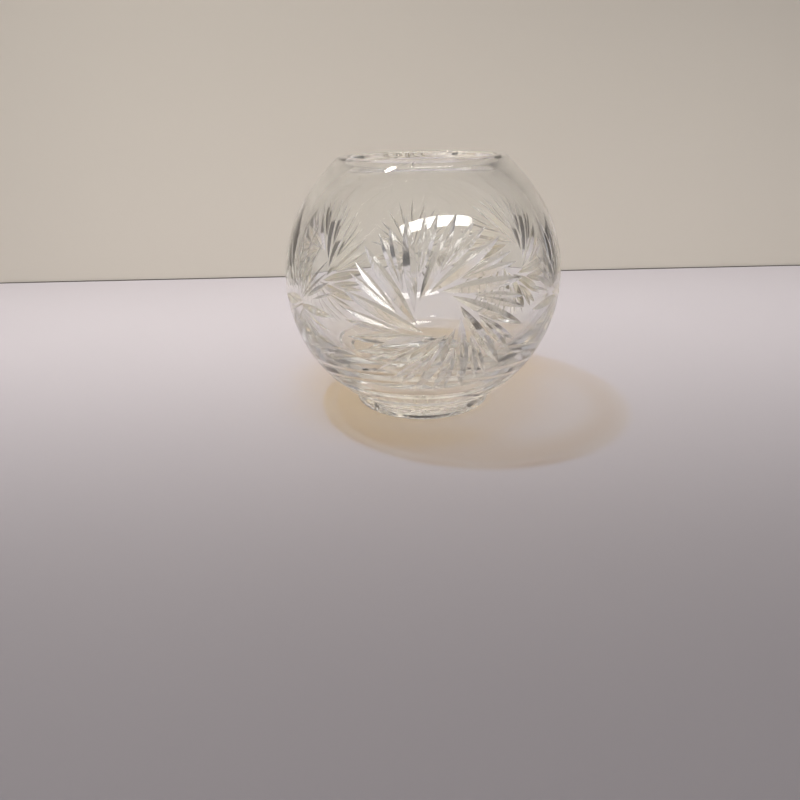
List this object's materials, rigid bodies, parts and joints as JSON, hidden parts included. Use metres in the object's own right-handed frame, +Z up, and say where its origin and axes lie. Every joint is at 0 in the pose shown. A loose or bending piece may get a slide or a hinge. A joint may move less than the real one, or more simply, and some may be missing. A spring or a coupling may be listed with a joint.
{
  "type": "crystal rose bowl",
  "caption": "Nearly spherical thick-walled clear crystal bowl vase with a small mouth, mitre-cut pinwheels alternating with star and fan motifs, two cut rings over a short foot and a star cut under the base.",
  "frame": {"origin": "centre of the foot's resting face, on the bowl's own axis", "axes": "+Z up along the bowl's axis, out of the mouth; -Y towards the middle of one pinwheel, which is the front; +X to the right seen from the front"},
  "size_m": [0.14, 0.14, 0.124],
  "materials": {
    "lead_crystal": "polished clear lead crystal with polished mitre cuts"
  },
  "bodies": {
    "root": {"crystal_bowl": "lead_crystal"}
  },
  "joints": []
}
